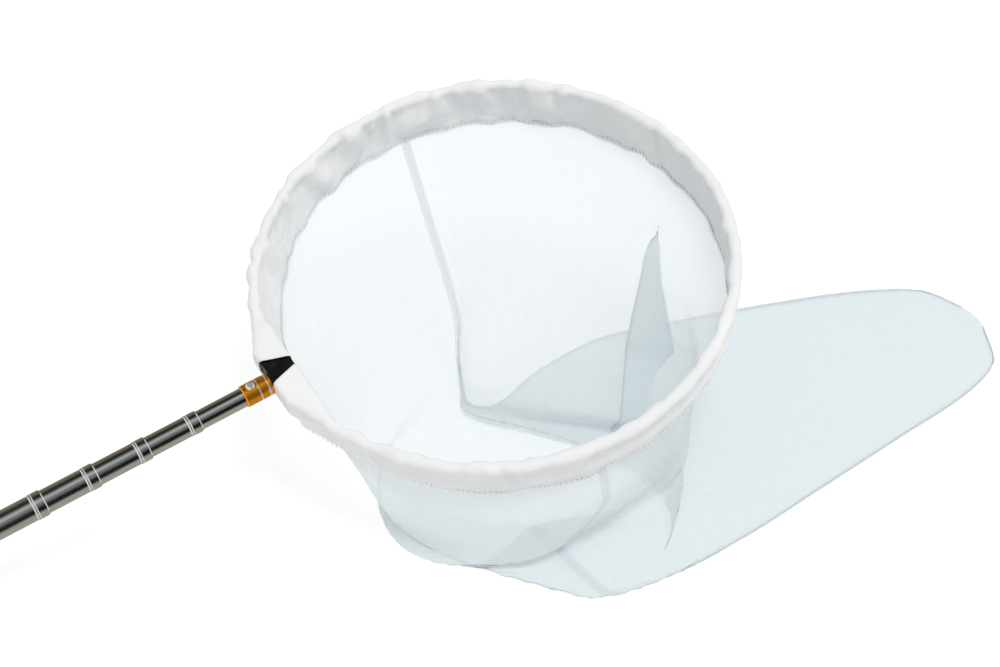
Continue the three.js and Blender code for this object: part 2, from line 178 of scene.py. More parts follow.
def add_object(name, data):
    item = bpy.data.objects.new(name, data)
    bpy.context.scene.collection.objects.link(item)
    return item


def add_piece(name, points, faces, materials, body, stands_for=(), uv=None, sharp=35):
    mesh = bpy.data.meshes.new(name)
    mesh.from_pydata(np.asarray(points).tolist(), [], faces)
    mesh.validate()
    piece = add_object(name, mesh)
    for material in materials if isinstance(materials, (list, tuple)) else [materials]:
        mesh.materials.append(material)
    if uv is not None:
        layer = mesh.uv_layers.new(name="flat")
        corner = np.empty(len(mesh.loops), np.int32)
        mesh.loops.foreach_get("vertex_index", corner)
        layer.data.foreach_set("uv", np.asarray(uv, np.float32)[corner].ravel())
    shade(mesh, sharp)
    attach(piece, body)
    if stands_for:
        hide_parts(*stands_for)
    return piece


def shade(mesh, sharp):
    """Smooth shading, with sharp edges where the faces meet at more than that many degrees."""
    if sharp is None:
        mesh.polygons.foreach_set("use_smooth", [True] * len(mesh.polygons))
        return
    shape = bmesh.new()
    shape.from_mesh(mesh)
    bmesh.ops.recalc_face_normals(shape, faces=shape.faces)
    limit = math.radians(sharp)
    for face in shape.faces:
        face.smooth = True
    for edge in shape.edges:
        edge.smooth = len(edge.link_faces) != 2 or edge.calc_face_angle() < limit
    shape.to_mesh(mesh)
    shape.free()


def grid_faces(rows, columns, wrap_rows=False, wrap_columns=False):
    index = np.arange(rows * columns).reshape(rows, columns)
    if wrap_rows:
        index = np.vstack([index, index[:1]])
    if wrap_columns:
        index = np.hstack([index, index[:, :1]])
    corners = [index[:-1, :-1], index[1:, :-1], index[1:, 1:], index[:-1, 1:]]
    return np.stack(corners, -1).reshape(-1, 4).tolist()


def rounded(profile, radius, steps=4):
    """A closed profile of (distance, radius) corners, each corner rounded."""
    corners = np.array(profile, float)
    result = []
    for i, corner in enumerate(corners):
        before, after = corners[i - 1] - corner, corners[(i + 1) % len(corners)] - corner
        reach = min(radius, 0.45 * np.linalg.norm(before), 0.45 * np.linalg.norm(after))
        start, end = corner + unit(before) * reach, corner + unit(after) * reach
        for k in range(steps + 1):
            t = k / steps
            result.append(start * (1 - t) ** 2 + 2 * corner * t * (1 - t) + end * t ** 2)
    return np.array(result)


ON_AXIS = 0.01  # turned profiles stop this far from their axis


def lathe(profile, sides=96):
    """Points and faces of a turned ring or, where the profile touches the axis, a solid."""
    profile = np.array(profile, float)
    angle = np.arange(sides) * 2 * math.pi / sides
    distance, radius = profile[:, :1], np.maximum(profile[:, 1:], ON_AXIS)
    points = stacked(-distance, radius * np.cos(angle), radius * np.sin(angle))
    return points, grid_faces(len(profile), sides, wrap_rows=True, wrap_columns=True)


def turned_piece(name, profile, material, body, stands_for):
    points, faces = lathe(profile)
    return add_piece(name, from_tool(points), faces, material, body, stands_for)


# ---- Material helpers ----


class Nodes:
    """Adds nodes to one node tree."""

    def __init__(self, tree):
        self.tree = tree

    def node(self, kind, inputs=None, **settings):
        node = self.tree.nodes.new(kind)
        for key, value in settings.items():
            setattr(node, key, value)
        for key, value in (inputs or {}).items():
            self.set(node.inputs[key], value)
        return node

    def set(self, socket, value):
        if isinstance(value, bpy.types.NodeSocket):
            self.tree.links.new(value, socket)
        else:
            socket.default_value = value

    def math(self, operation, a, b=0.0, c=0.0):
        return self.node("ShaderNodeMath", {0: a, 1: b, 2: c}, operation=operation).outputs[0]

    def dot(self, vector, axis):
        return self.node("ShaderNodeVectorMath", {0: vector, 1: tuple(axis)},
                         operation="DOT_PRODUCT").outputs["Value"]

    def blend(self, factor, a, b):
        mix = self.node("ShaderNodeMix", data_type="RGBA")
        for key, value in ((0, factor), (6, a), (7, b)):
            self.set(mix.inputs[key], (*value, 1) if isinstance(value, (tuple, list)) else value)
        return mix.outputs[2]

    def mix_shader(self, factor, a, b):
        return self.node("ShaderNodeMixShader", {0: factor, 1: a, 2: b}).outputs[0]


class Shader(Nodes):
    """Builds one material's node tree."""

    def __init__(self, name):
        self.material = bpy.data.materials.new(name)
        self.material.use_nodes = True
        super().__init__(self.material.node_tree)
        self.bsdf = self.tree.nodes["Principled BSDF"]
        self.output = self.tree.nodes["Material Output"]

    def principled(self, **inputs):
        for key, value in inputs.items():
            self.set(self.bsdf.inputs[key.replace("_", " ")], value)
        return self.material

    def tool_coordinates(self):
        """Object coordinates turned into the tool's axes, x along the pole, in millimetres."""
        here = self.node("ShaderNodeTexCoord").outputs["Object"]
        moved = self.node("ShaderNodeVectorMath", {0: here, 1: tuple(CENTRE)}, operation="SUBTRACT")
        parts = [self.dot(moved.outputs[0], axis / MM) for axis in TOOL_AXES]
        return self.node("ShaderNodeCombineXYZ", dict(zip("XYZ", parts))).outputs[0]

    def scaled(self, vector, scale):
        return self.node("ShaderNodeVectorMath", {0: vector, 1: scale}, operation="MULTIPLY").outputs[0]

    def noise(self, vector, scale, detail=3.0, roughness=0.5):
        return self.node("ShaderNodeTexNoise", {
            "Vector": self.scaled(vector, scale), "Scale": 1.0,
            "Detail": detail, "Roughness": roughness,
        }).outputs["Fac"]

    def between(self, factor, low, high, from_low=0.3, from_high=0.7):
        return self.node("ShaderNodeMapRange", {
            "Value": factor, "From Min": from_low, "From Max": from_high,
            "To Min": low, "To Max": high,
        }).outputs[0]

    def mottle(self, cloud, a, b):
        return self.blend(self.between(cloud, 0, 1), a, b)

    def bump(self, height, distance, strength=1.0, below=None):
        inputs = {"Height": height, "Distance": distance, "Strength": strength}
        if below is not None:
            inputs["Normal"] = below
        return self.node("ShaderNodeBump", inputs).outputs[0]


def steel_material(name, tone, roughness, grain, metallic=1.0):
    shader = Shader(name)
    place = shader.tool_coordinates()
    lines = shader.noise(place, grain, 4.0)
    cloud = shader.noise(place, (0.06, 0.35, 0.35), 3.0)
    smear = shader.noise(place, (0.02, 0.9, 0.9), 2.0)
    return shader.principled(
        Base_Color=shader.mottle(cloud, [c * 0.9 for c in tone], tone),
        Metallic=metallic,
        Roughness=shader.math("ADD", shader.between(lines, roughness - 0.03, roughness + 0.03),
                              shader.between(smear, 0.0, 0.04)),
        Normal=shader.bump(lines, 0.004 * MM, 0.5),
    )


def anodised_material():
    shader = Shader("orange_anodised")
    place = shader.tool_coordinates()
    turning = shader.noise(place, (14.0, 0.12, 0.12), 3.0)
    cloud = shader.noise(place, (0.3, 0.3, 0.3), 3.0)
    return shader.principled(
        Base_Color=shader.mottle(cloud, (0.95, 0.31, 0.012), (1.0, 0.39, 0.015)),
        Metallic=0.85,
        Roughness=shader.between(turning, 0.16, 0.25),
        Normal=shader.bump(turning, 0.012 * MM, 0.5),
    )


def nylon_material():
    shader = Shader("black_nylon")
    place = shader.tool_coordinates()
    grain = shader.noise(place, (3.2, 3.2, 3.2), 3.0, 0.6)
    wear = shader.noise(place, (0.12, 0.12, 0.12), 4.0)
    return shader.principled(
        Base_Color=shader.mottle(wear, (0.003, 0.003, 0.003), (0.007, 0.007, 0.007)),
        Roughness=shader.between(wear, 0.36, 0.5),
        Normal=shader.bump(grain, 0.02 * MM, 0.4),
        Specular_IOR_Level=0.25,
    )


def foam_material():
    shader = Shader("foam_rubber")
    place = shader.tool_coordinates()
    cells = shader.node("ShaderNodeTexVoronoi", {
        "Vector": shader.scaled(place, (1.6, 1.6, 1.6)), "Scale": 1.0,
    }).outputs["Distance"]
    cloud = shader.noise(place, (0.08, 0.08, 0.08), 4.0)
    return shader.principled(
        Base_Color=shader.mottle(cloud, (0.016, 0.016, 0.017), (0.030, 0.030, 0.031)),
        Roughness=shader.between(cells, 0.78, 0.95, 0.1, 0.7),
        Normal=shader.bump(cells, 0.12 * MM, 0.7),
        Sheen_Weight=0.15,
    )


def weave_height(shader, pitch):
    """A plain weave from the flat UVs, which are in metres."""
    flat = shader.node("ShaderNodeUVMap", uv_map="flat").outputs[0]
    parts = shader.node("ShaderNodeSeparateXYZ", {0: flat})
    turns = 2 * math.pi / pitch
    warp, weft = (shader.math("SINE", shader.math("MULTIPLY", parts.outputs[k], turns)) for k in (0, 1))
    return flat, shader.math("ADD", shader.math("MULTIPLY", warp, weft), shader.math("ABSOLUTE", warp))


def cotton_material():
    shader = Shader("white_cloth")
    flat, weave = weave_height(shader, 0.7 * MM)
    slub = shader.noise(flat, (90.0, 1400.0, 1.0), 3.0)
    crease = shader.noise(flat, (160.0, 110.0, 1.0), 5.0, 0.6)
    cloud = shader.noise(flat, (14.0, 14.0, 1.0), 3.0)
    fine = shader.bump(weave, 0.05 * MM, 0.35)
    shader.principled(
        Base_Color=shader.mottle(cloud, (0.78, 0.787, 0.795), (0.845, 0.848, 0.85)),
        Roughness=shader.between(slub, 0.78, 0.92),
        Normal=shader.bump(crease, 0.5 * MM, 0.35, fine),
        Sheen_Weight=0.2,
        Specular_IOR_Level=0.3,
    )
    through = shader.node("ShaderNodeBsdfTranslucent", {"Color": (0.85, 0.86, 0.87, 1)})
    mixed = shader.mix_shader(0.10, shader.bsdf.outputs[0], through.outputs[0])
    shader.set(shader.output.inputs["Surface"], mixed)
    return shader.material


def net_material(name, tone, cover, holes):
    """Fine knitted mesh: threads that let light through, and holes between them."""
    shader = Shader(name)
    flat = shader.node("ShaderNodeUVMap", uv_map="flat").outputs[0]
    parts = shader.node("ShaderNodeSeparateXYZ", {0: flat})
    turns = math.pi / (1.1 * MM)
    lean = shader.math("ADD", parts.outputs[0], parts.outputs[1])
    back = shader.math("SUBTRACT", parts.outputs[0], parts.outputs[1])
    one, two = (shader.math("ABSOLUTE", shader.math("SINE", shader.math("MULTIPLY", across, turns)))
                for across in (lean, back))
    hole = shader.math("MULTIPLY", one, two)
    cloud = shader.noise(flat, (11.0, 11.0, 1.0), 4.0, 0.55)
    streak = shader.noise(flat, (260.0, 16.0, 1.0), 2.0)
    density = shader.math("ADD", shader.between(cloud, cover - 0.02, cover + 0.02),
                          shader.between(streak, -0.005, 0.005))
    open_share = shader.math("MULTIPLY", shader.math("SUBTRACT", hole, 0.4), holes)
    alpha = shader.math("SUBTRACT", density, open_share)
    threads, through = (shader.node(f"ShaderNodeBsdf{kind}", {"Color": (*tone, 1)}).outputs[0]
                        for kind in ("Diffuse", "Translucent"))
    clear = shader.node("ShaderNodeBsdfTransparent").outputs[0]
    mixed = shader.mix_shader(alpha, clear, shader.mix_shader(0.4, threads, through))
    shader.set(shader.output.inputs["Surface"], mixed)
    return shader.material


def thread_material():
    shader = Shader("sewing_thread")
    place = shader.tool_coordinates()
    twist = shader.noise(place, (9.0, 9.0, 9.0), 2.0)
    return shader.principled(
        Base_Color=shader.mottle(twist, (0.86, 0.87, 0.885), (0.95, 0.955, 0.96)),
        Roughness=0.6,
        Normal=shader.bump(twist, 0.05 * MM, 0.6),
    )


STEEL = steel_material("polished_steel", (0.80, 0.80, 0.79), 0.11, (0.05, 16.0, 16.0))
WIRE_STEEL = steel_material("wire_steel", (0.72, 0.72, 0.71), 0.25, (0.4, 6.0, 6.0))
SCREW_STEEL = steel_material("screw_steel", (0.80, 0.80, 0.80), 0.22, (3.0, 3.0, 3.0), 0.8)
BLACK_STEEL = steel_material("blackened_steel", (0.02, 0.02, 0.02), 0.4, (3.0, 3.0, 3.0), 0.8)
BARE_ALLOY = steel_material("bare_alloy", (0.85, 0.84, 0.82), 0.22, (8.0, 0.2, 0.2))
ORANGE = anodised_material()
NYLON = nylon_material()
FOAM = foam_material()
COTTON = cotton_material()
NET = net_material("white_mesh", (0.765, 0.815, 0.832), 0.69, 0.07)
# The seam allowance is drawn as one sheet. Its tone is darker than the bag's mesh as painted shade, for
# the greyer look of two layers of white mesh.
SEAM_SHADED = net_material("seam_mesh_painted_shade", (0.70, 0.74, 0.76), 0.64, 0.05)
THREAD = thread_material()


# ---- Cloth solver ----


class Cloth:
    """A grid of cloth points, relaxed by position-based dynamics. Columns may close into a ring."""

    def __init__(self, points, slack, wrap, bend):
        self.now = points.reshape(-1, 3).copy()
        self.last = self.now.copy()
        self.links = []
        index = np.arange(len(self.now)).reshape(points.shape[:2])
        spans = [(1, 0, 1.0), (0, 1, 1.0), (1, 1, 0.35), (1, -1, 0.35), (2, 0, bend), (0, 2, bend)]
        for down, right, stiffness in spans:
            self.add_links(index, down, right, stiffness, slack.ravel(), wrap)

    def add_links(self, index, down, right, stiffness, slack, wrap):
        start, end = index[:len(index) - down], index[down:]
        if wrap:
            end = np.roll(end, -right, axis=1)
        elif right > 0:
            start, end = start[:, :-right], end[:, right:]
        elif right < 0:
            start, end = start[:, -right:], end[:, :right]
        place = np.indices(start.shape)
        colour = (place[0] // down if down else place[1] // right) % 2
        for wanted in (0, 1):
            a, b = start[colour == wanted], end[colour == wanted]
            rest = np.linalg.norm(self.now[a] - self.now[b], axis=1)
            rest *= 1 + (slack[a] + slack[b]) / 2
            self.links.append((a, b, rest, stiffness / 2))

    def relax(self, steps, weight, drag, target, hold, limit):
        for _ in range(steps):
            moved = self.now - self.last
            self.last = self.now.copy()
            self.now += moved * drag
            self.now[:, 2] -= weight
            for a, b, rest, stiffness in self.links:
                apart = self.now[b] - self.now[a]
                length = np.sqrt(np.einsum("ij,ij->i", apart, apart)) + 1e-9
                apart *= (stiffness * (1 - rest / length))[:, None]
                self.now[a] += apart
                self.now[b] -= apart
            self.now += (target - self.now) * hold[:, None]
            limit(self.now)


def ripples(u, v, count, shortest, longest, seed, lean=0.5):
    """Smooth random waves over flat coordinates u and v, about 1 high. lean 0 runs them along v."""
    rng = np.random.default_rng(seed)
    total = np.zeros(np.broadcast(u, v).shape)
    for _ in range(count):
        wave = 2 * math.pi / rng.uniform(shortest, longest)
        heading = rng.normal(0, lean)
        phase = rng.uniform(0, 2 * math.pi)
        total += np.cos(wave * (u * math.cos(heading) + v * math.sin(heading)) + phase)
    return total / math.sqrt(count / 2)


def surface_normals(grid, wrap):
    """The unit normal at each point of a grid."""
    if wrap:
        across = np.roll(grid, -1, axis=1) - np.roll(grid, 1, axis=1)
    else:
        across = np.gradient(grid, axis=1)
    normal = np.cross(np.gradient(grid, axis=0), across)
    return normal / (np.linalg.norm(normal, axis=2, keepdims=True) + 1e-12)


# ---- Soft pieces ----


def hem_radius(angle):
    """The hem's radius at an angle round the hoop, in degrees."""
    knots = np.array(HEM_RADIUS, float)
    turned = (np.asarray(angle) + 180) % 360 - 180
    fine = np.interp((np.arange(-180, 540) + 180) % 360 - 180, knots[:, 0], knots[:, 1])
    width = 25
    smooth = np.convolve(fine, np.ones(width) / width, "same")
    return np.interp(turned, np.arange(0, 180), smooth[180:360]) * (turned >= 0) + np.interp(
        turned, np.arange(-180, 0), smooth[360:540]) * (turned < 0)


def monotone(knots, values, s):
    """Cubic through the rows of values, with slopes that never overshoot their neighbours."""
    step = np.diff(knots)[:, None]
    slope = np.diff(values, axis=0) / step
    product = slope[:-1] * slope[1:]
    total = slope[:-1] + slope[1:]
    inner = np.where(product > 0, 2 * product / np.where(total == 0, 1, total), 0)
    slopes = np.vstack([slope[:1], inner, slope[-1:]])
    k = np.clip(np.searchsorted(knots, s, side="right") - 1, 0, len(knots) - 2)
    h = step[k]
    t = (s - knots[k])[:, None] / h
    return (values[k] * (2 * t ** 3 - 3 * t ** 2 + 1) + slopes[k] * h * (t ** 3 - 2 * t ** 2 + t)
            + values[k + 1] * (3 * t ** 2 - 2 * t ** 3) + slopes[k + 1] * h * (t ** 3 - t ** 2))


def hem_ring(angle, drop, inset=0.0):
    """Level points of the hem, at angles round the hoop in degrees."""
    radius = hem_radius(angle) - inset
    turn = np.radians(angle)
    return to_level(stacked(radius * np.cos(turn), radius * np.sin(turn), -drop))


def bag_stations():
    rows = []
    far, near, low, up = (hem_ring(np.array([a + SEAM_TURN], float), HEM_DROP)[0]
                          for a in (90, -90, 180, 0))
    middle = (far + near) / 2
    rows.append([*far, *near, *(low - middle), *(up - middle), 0, 0])
    for _, far, near, low, up, skew in BAG:
        rows.append([*far, *near, *low, *up, *skew])
    return np.array([0.0] + [row[0] for row in BAG]), np.array(rows, float)


# A dart-shaped fold in the upper panel's wall, where the cloth doubles back on itself. At each
# share of the bag's length: the fold's angle from the far seam, and the fold's width, in degrees.
DART = np.array([(0.0, 82, 0), (0.055, 83, 0), (0.115, 88.5, 13), (0.17, 96.5, 29), (0.216, 95, 16),
                 (0.30, 91, 3), (0.36, 91, 0), (1.0, 91, 0)])
DART_DEPTH = 2.4  # how strongly the cloth doubles back
DART_LIFT = 4.0  # keeps its layers apart


def dart(s, share):
    """Angles across the upper panel, folded back on themselves at the dart, and its layers' lift."""
    middle = np.interp(s, DART[:, 0], DART[:, 1])[:, None]
    width = np.interp(s, DART[:, 0], DART[:, 2])[:, None]
    depth = np.clip(width / 5, 0, 1)
    width = np.maximum(width, 3)
    angle = share[None, :] * 180
    # the columns follow the dart, so that its folded edges run along them
    near_dart = np.exp(-((angle - 90) / 35) ** 2)
    spread = np.maximum(width, 8) / 16 - 1
    angle = angle + (middle - 90 + spread * (angle - 90)) * near_dart
    run = (angle - middle) / width
    shift = -DART_DEPTH * width * run * np.exp(-1.6 * run ** 2) * depth
    lift = DART_LIFT * run * np.exp(-1.2 * run ** 2) * depth
    return np.radians(angle + shift), lift


# Where the wall meets the floor, the near seam is pulled back under the hoop: how far, and how
# many degrees to each side of it follow.
PINCH = {"pull": (2, 37, 5), "at": 0.31, "before": 0.06, "after": 0.045, "width": 16.0}


def pinch(s, angle):
    """How far each point moves with the pulled near seam."""
    off = s - PINCH["at"]
    share = np.exp(-(off / np.where(off < 0, PINCH["before"], PINCH["after"])) ** 2)
    follow = np.exp(-((180 - np.degrees(angle)) / PINCH["width"]) ** 2)
    return (share[:, None] * follow)[:, :, None] * np.array(PINCH["pull"], float)


def bag_loft():
    """The bag before it is relaxed: rows along it, columns round it from the far seam. Level mm."""
    knots, values = bag_stations()
    s = np.linspace(0, 1, NET_ROWS)
    row = monotone(knots, values, s)
    half = NET_COLUMNS // 2
    share = np.arange(half + 1) / half
    far, near, low, up = (row[:, None, k:k + 3] for k in (0, 3, 6, 9))
    panels = []
    for stand, skew, is_upper in ((low, row[:, 12:13], False), (up, row[:, 13:14], True)):
        angle, lift = np.broadcast_to(share * math.pi, (NET_ROWS, half + 1)), None
        if is_upper:
            angle, lift = dart(s, share)
        sine, cosine = np.sin(angle)[:, :, None], np.cos(angle)[:, :, None]
        points = (far + near) / 2 + (far - near) / 2 * cosine + stand * sine
        points[:, :, 0] -= skew * np.sin(2 * angle)
        points += pinch(s, angle)
        if is_upper:
            points += surface_normals(points, False) * lift[:, :, None]
            points[:, :, 2] += 0.8 * np.sin(angle) * np.minimum(1, s / 0.1)[:, None]
        around = 90 + SEAM_TURN + np.degrees(angle[0]) * (-1 if is_upper else 1)
        top = hem_ring(around, HEM_DROP - NET_TUCK, 0.2)
        fade = np.clip(1 - s / 0.1, 0, 1)[:, None, None] ** 2
        panels.append(points + (top - points[0]) * fade)
    lower, upper = panels
    return np.concatenate([lower[:, :-1], upper[:, :0:-1]], axis=1)


def flat_coordinates(grid):
    """Each point's flat place in metres: round the piece at its first row, and along its columns."""
    step = np.linalg.norm(np.diff(grid, axis=0), axis=2).mean(1)
    along = np.concatenate([[0], np.cumsum(step)])
    around = np.linalg.norm(np.diff(grid, axis=1), axis=2)
    across = np.concatenate([np.zeros((len(grid), 1)), np.cumsum(around, axis=1)], axis=1)
    return across, np.broadcast_to(along[:, None], across.shape)


def relaxed_bag():
    loft = bag_loft()
    half = NET_COLUMNS // 2
    across, along = flat_coordinates(loft)
    s = np.linspace(0, 1, NET_ROWS)[:, None]
    column = np.arange(NET_COLUMNS)[None, :]
    from_far_seam = np.minimum(column, NET_COLUMNS - column)
    from_seam = np.minimum(from_far_seam, np.abs(column - half))
    at_seam = np.exp(-(from_seam / 2.0) ** 2)
    slack = 0.012 + 0.02 * np.clip((s - 0.1) / 0.3, 0, 1) * np.clip((0.6 - s) / 0.2, 0, 1)
    slack = slack * (1 - at_seam) * np.ones_like(across)
    cloth = Cloth(loft, slack, wrap=True, bend=0.12)
    rough = ripples(across, along, 24, 45, 190, 11, 0.9) * 1.6 * np.clip(s / 0.06, 0, 1)
    start = loft + surface_normals(loft, True) * (rough * (1 - at_seam))[:, :, None]
    cloth.now = start.reshape(-1, 3).copy()
    cloth.last = cloth.now.copy()
    hold = 0.010 + 0.12 * at_seam + 0.02 * np.clip((s - 0.5) / 0.2, 0, 1) + 0 * across
    hold[0] = 1
    hold[-1] = 0.5
    target = loft.reshape(-1, 3)
    floor = FLOOR_MM + 0.6
    lying = np.flatnonzero(s[:, 0] > 0.42)
    lower_columns = np.arange(1, half)
    upper_columns = NET_COLUMNS - lower_columns

    def limit(points):
        np.maximum(points[:, 2], floor, out=points[:, 2])
        grid = points.reshape(loft.shape)
        below = grid[lying[:, None], lower_columns[None, :], 2]
        above = grid[lying[:, None], upper_columns[None, :], 2]
        grid[lying[:, None], upper_columns[None, :], 2] = np.maximum(above, below + 1.0)

    cloth.relax(steps=260, weight=0.012, drag=0.6, target=target, hold=hold.ravel(), limit=limit)
    return cloth.now.reshape(loft.shape), across, along


def smooth_blend(x):
    x = np.clip(x, 0, 1)
    return x * x * (3 - 2 * x)


# ---- Bag ----


def net_panel(name, grid, across, along, node):
    rows, columns = grid.shape[:2]
    uv = np.stack([across, along], -1).reshape(-1, 2) * MM
    return add_piece(name, from_level(grid), grid_faces(rows, columns), NET, "head",
                     [node], uv, sharp=None)


def edge_strip(grid, width, steps):
    """Points of a strip along the first column of a grid, lying on the grid. Also its flat widths."""
    length = np.linalg.norm(np.diff(grid, axis=1), axis=2)
    reach = np.concatenate([np.zeros((len(grid), 1)), np.cumsum(length, axis=1)], axis=1)
    wanted = np.linspace(0, width, steps)
    strip = np.empty((len(grid), steps, 3))
    for i in range(len(grid)):
        for k in range(3):
            strip[i, :, k] = np.interp(np.minimum(wanted, reach[i, -1] * 0.45), reach[i], grid[i, :, k])
    return strip, wanted


def stitches(name, path, up, length, gap, radius, zigzag=0.0, side=None):
    """Sewing stitches along a path. All sizes are in metres. up is each point's normal."""
    reach = run_along(path)
    count = int(reach[-1] / (length + gap))
    at = (np.arange(count) + 0.5) * reach[-1] / count

    def sample(values, where):
        return np.stack([np.interp(where, reach, values[:, k]) for k in range(3)], -1)

    first, last = sample(path, at - length / 2), sample(path, at + length / 2)
    normal = sample(up, at)
    normal /= np.linalg.norm(normal, axis=1, keepdims=True)
    if zigzag:
        out = sample(side, at)
        swing = np.where(np.arange(count) % 2, zigzag, -zigzag)[:, None]
        first, last = first - out * swing, last + out * swing
    ahead = last - first
    ahead /= np.linalg.norm(ahead, axis=1, keepdims=True) + 1e-12
    beside = np.cross(ahead, normal)
    share = np.array([0, 0.2, 0.5, 0.8, 1.0])
    thick = np.array([0.35, 0.9, 1.0, 0.9, 0.35]) * radius
    raised = np.array([0.0, 0.7, 1.0, 0.7, 0.0]) * radius
    turn = np.arange(6) * math.pi / 3
    centre = first[:, None] * (1 - share)[None, :, None] + last[:, None] * share[None, :, None]
    centre = centre + normal[:, None] * raised[None, :, None]
    ring = (beside[:, None, None] * np.cos(turn)[None, None, :, None]
            + normal[:, None, None] * np.sin(turn)[None, None, :, None])
    points = centre[:, :, None] + ring * thick[None, :, None, None]
    one = grid_faces(5, 6, wrap_columns=True)
    one += [[5, 4, 3, 2, 1, 0], [24, 25, 26, 27, 28, 29]]
    faces = [[corner + 30 * k for corner in face] for k in range(count) for face in one]
    return add_piece(name, points.reshape(-1, 3), faces, THREAD, "head", (), sharp=None)


def build_bag():
    grid, across, along = relaxed_bag()
    half = NET_COLUMNS // 2
    lower = grid[:, :half + 1]
    upper = np.concatenate([grid[:, :1], grid[:, :half - 1:-1]], axis=1)
    along = along[:, :half + 1]
    lower_piece = net_panel("bag_lower_panel", lower, across[:, :half + 1], along, "net_panel_lower")
    upper_piece = net_panel("bag_upper_panel", upper, flat_coordinates(upper)[0], along,
                            "net_panel_upper")
    return lower_piece, upper_piece, build_seams(lower, upper)


SEAM_WIDTH = 8.0


def grid_middle(one, two):
    """The middle of the bag at each row."""
    return (one.mean(1) + two.mean(1)) / 2


def build_seams(lower, upper):
    """The side seams' allowance, a doubled strip inside each seam, with two rows of stitches."""
    pieces = []
    for name, one, two in (("far", lower, upper), ("near", lower[:, ::-1], upper[:, ::-1])):
        left, wanted = edge_strip(one, SEAM_WIDTH / 2, 4)
        right, _ = edge_strip(two, SEAM_WIDTH / 2, 4)
        strip = np.concatenate([left[:, :0:-1], right], axis=1)
        wanted = np.concatenate([-wanted[:0:-1], wanted]) + SEAM_WIDTH / 2
        normal = surface_normals(strip, False)
        middle = strip[:, 3]
        inward = grid_middle(one, two).mean(0) - middle.mean(0)
        if (normal[:, 3] @ inward).mean() < 0:
            normal = -normal
        strip = strip + normal * 0.5
        rows = len(strip)
        uv = stacked(wanted[None, :], run_along(middle)[:, None]).reshape(-1, 2) * MM
        # one sheet for the doubled cloth, in the seam mesh whose darker tone is painted shade
        piece = add_piece(f"seam_strip_{name}", from_level(strip), grid_faces(rows, 7),
                          SEAM_SHADED, "head", (), uv, sharp=None)
        pieces.append(piece)
        for k, column in enumerate((1, 5)):
            line = from_level(strip[:, column] - normal[:, column] * 0.1)
            pieces.append(stitches(f"seam_stitches_{name}_{k + 1}", line, normal[:, column],
                                   3.0 * MM, 0.7 * MM, 0.22 * MM))
    return pieces


# ---- Sleeve ----

SLEEVE_COLUMNS = 640
SLEEVE_ROWS = 37
SLEEVE_ENDS = (176.0, -178.9)  # degrees round the hoop: one end beside the hub, one over it
SLEEVE_WIDTH = 92.0  # flat, from hem to hem
WEAVE_GATHER = 0.096  # the weave's coordinates run this much further than the hoop's arc
GATHER_DEPTH = 6.0  # of the deepest fold
ROLL = 4.7  # the cloth's radius over the wire

# Over the hub the sleeve is a flat-sided box of cloth. From the box's corner it is drawn straight
# to the wire, so its outside leaves the hoop's circle at this angle from the pole's axis.
HUB_BOX = {"outer": 211.1, "inner": 186.2, "half_height": 8.2, "corner": 2.5, "edge": 7.3,
           "leaves": 21.8}
OUTER_WALL = ((-6.0, -3.0), (-22.0, 1.8))  # (height below the wire's roll, how far out of straight)
END_SLANT = 1.0  # the ends are cut at a slant: half their difference in angle, inside to outside


def beside_hub(angle):
    """0 along the wire, rising to 1 where the sleeve runs over the hub."""
    from_axis = 180 - np.abs(np.asarray(angle, float))
    return smooth_blend((HUB_BOX["leaves"] - from_axis) / (HUB_BOX["leaves"] - HUB_BOX["edge"]))


def sleeve_section(angle):
    """The sleeve's cross-section at one angle: points of (radius, height), from hem to hem."""
    hem = float(hem_radius(np.array([angle]))[0])
    near_hub = float(beside_hub(angle))
    from_axis = 180 - abs(angle)
    edge, leaves = HUB_BOX["edge"], HUB_BOX["leaves"]
    on_box = math.cos(math.radians(min(from_axis, edge)))
    tangent = (HOOP_RADIUS + ROLL) / math.cos(math.radians(max(leaves - max(from_axis, edge), 0)))
    outer = HUB_BOX["outer"] / on_box if from_axis < edge else tangent
    inner = HUB_BOX["inner"] / on_box
    inner += (HOOP_RADIUS - ROLL - inner) * (1 - near_hub)
    half_height = ROLL + (HUB_BOX["half_height"] - ROLL) * near_hub
    half_width = (outer - inner) / 2
    corner = ROLL + (HUB_BOX["corner"] - ROLL) * near_hub
    turn = np.radians(np.linspace(205, -25, 21))
    cosine, sine = np.cos(turn), np.sin(turn)
    arc = np.stack([(outer + inner) / 2 + np.sign(cosine) * (half_width - corner) + corner * cosine,
                    np.sign(sine) * (half_height - corner) + corner * sine], -1)
    drop = HEM_DROP - 14 * near_hub
    legs = np.array([[hem - 0.5 - 2 * near_hub, -drop], [hem + 0.9 + 14 * near_hub, -drop]])
    # outside the hoop the cloth is drawn in under the wire and flares out again to its hem
    fall = (legs[1] - arc[-1]) / (legs[1, 1] - arc[-1, 1])
    valley, flare = (arc[-1] + fall * depth + [aside * (1 - near_hub), 0]
                     for depth, aside in OUTER_WALL)
    path = np.vstack([legs[:1], arc, [valley, flare], legs[1:]])
    reach = run_along(path)
    wanted = np.linspace(0, reach[-1], SLEEVE_ROWS)
    return np.stack([np.interp(wanted, reach, path[:, k]) for k in (0, 1)], -1)


def sleeve_base():
    angles = np.linspace(*SLEEVE_ENDS, SLEEVE_COLUMNS)
    section = np.stack([sleeve_section(angle) for angle in angles], axis=1)
    radius, height = section[:, :, 0], section[:, :, 1]
    slant = END_SLANT * np.clip((radius - HOOP_RADIUS) / 12, -1, 1) * beside_hub(angles) ** 2
    turn = np.radians(angles - np.sign(angles) * slant)
    return stacked(radius * np.cos(turn), radius * np.sin(turn), height), angles


